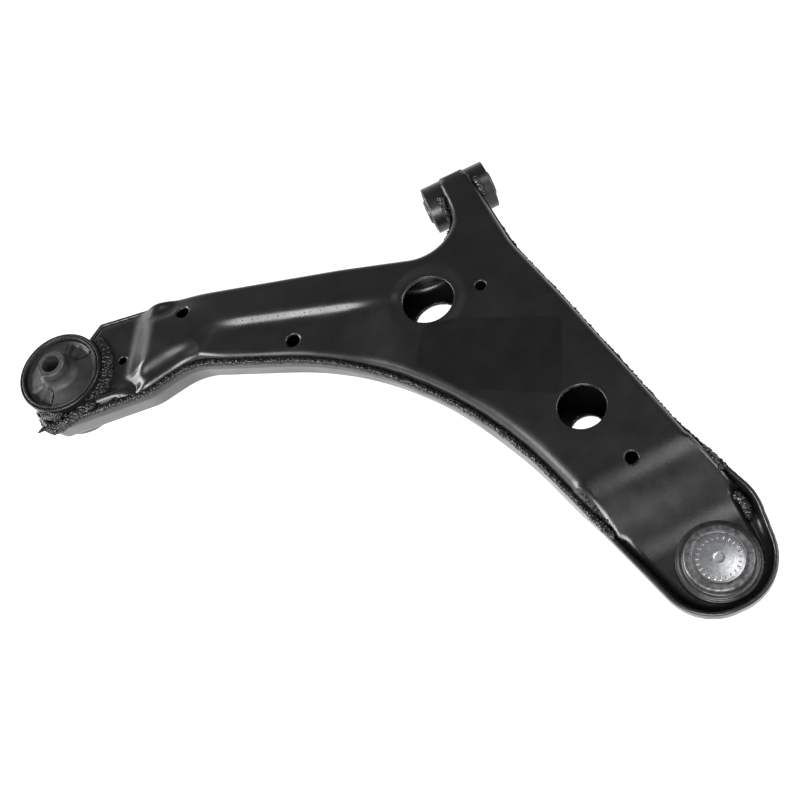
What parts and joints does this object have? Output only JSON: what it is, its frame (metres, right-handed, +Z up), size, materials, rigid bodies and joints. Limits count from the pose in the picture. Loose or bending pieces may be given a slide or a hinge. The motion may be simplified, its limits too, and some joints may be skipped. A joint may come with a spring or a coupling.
{
  "type": "suspension control arm",
  "caption": "L-shaped lower suspension arm of welded steel pressings with a sleeved front bush, an upright rear bush and a sealed ball joint",
  "frame": {"origin": "bottom centre of the arm's bounding box, at the level of the ball stud's lower end", "axes": "+X along the pivot axis from the rear bush to the front bush, +Z up along the ball joint and the rear bush, ball joint on the -Y side"},
  "size_m": [0.4252, 0.3918, 0.104],
  "materials": {
    "black_coat": "glossy black electro-coat",
    "weld": "rippled weld under black coat",
    "bush_steel": "dark phosphated steel",
    "bush_rubber": "matt moulded rubber",
    "housing_steel": "dark forged steel, crimped rim",
    "cap_zinc": "satin zinc",
    "bearing_polymer": "moulded polymer",
    "stud_steel": "machined zinc-plated steel",
    "boot_rubber": "matt rubber",
    "label_film": "blank dark film"
  },
  "bodies": {
    "arm": {"upper_shell": "black_coat", "lower_shell": "black_coat", "inner_seam_weld": "weld", "rear_seam_weld": "weld", "front_seam_weld": "weld", "seat_weld": "weld", "rear_eye_weld": "weld", "front_eye_weld_rear": "weld", "front_eye_weld_front": "weld", "front_eye_tube": "black_coat", "front_bush_outer_sleeve": "bush_steel", "front_bush_rubber": "bush_rubber", "rear_eye_ring": "black_coat", "rear_bush_outer_sleeve": "bush_steel", "rear_bush_rubber": "bush_rubber", "ball_joint_housing": "housing_steel", "ball_joint_cap": "cap_zinc", "ball_joint_pressure_disc": "housing_steel", "ball_joint_bearing": "bearing_polymer", "boot_housing_ring": "bush_steel", "blank_label": "label_film"},
    "front_sleeve": {"front_bush_inner_sleeve": "bush_steel"},
    "rear_sleeve": {"rear_bush_inner_sleeve": "bush_steel"},
    "boot": {"dust_boot": "boot_rubber"},
    "boot_ring": {"boot_stud_ring": "bush_steel"},
    "stud": {"ball_stud": "stud_steel", "castle_nut": "stud_steel", "cotter_pin": "stud_steel"}
  },
  "joints": [
    {"name": "front_bush_twist", "type": "hinge", "parent": "arm", "child": "front_sleeve", "pos_m": [0.13801, 0.16389, 0.074], "axis": [1, 0, 0], "range_deg": [-25, 25], "stiffness_Nm_per_rad": 60, "deforming": ["front_bush_rubber"]},
    {"name": "rear_bush_tilt", "type": "hinge", "parent": "arm", "child": "rear_sleeve", "pos_m": [-0.18059, 0.16389, 0.07], "axis": [1, 0, 0], "range_deg": [-15, 15], "stiffness_Nm_per_rad": 90, "deforming": ["rear_bush_rubber"]},
    {"name": "ball_swing_fore_aft", "type": "hinge", "parent": "arm", "child": "boot", "pos_m": [0.17501, -0.16311, 0.063], "axis": [0, 1, 0], "range_deg": [-20, 20], "deforming": ["dust_boot"]},
    {"name": "ball_swing_sideways", "type": "hinge", "parent": "boot", "child": "boot_ring", "pos_m": [0.17501, -0.16311, 0.063], "axis": [1, 0, 0], "range_deg": [-20, 20]},
    {"name": "ball_stud_turn", "type": "hinge", "parent": "boot_ring", "child": "stud", "pos_m": [0.17501, -0.16311, 0.063], "axis": [0, 0, 1], "continuous": true}
  ]
}
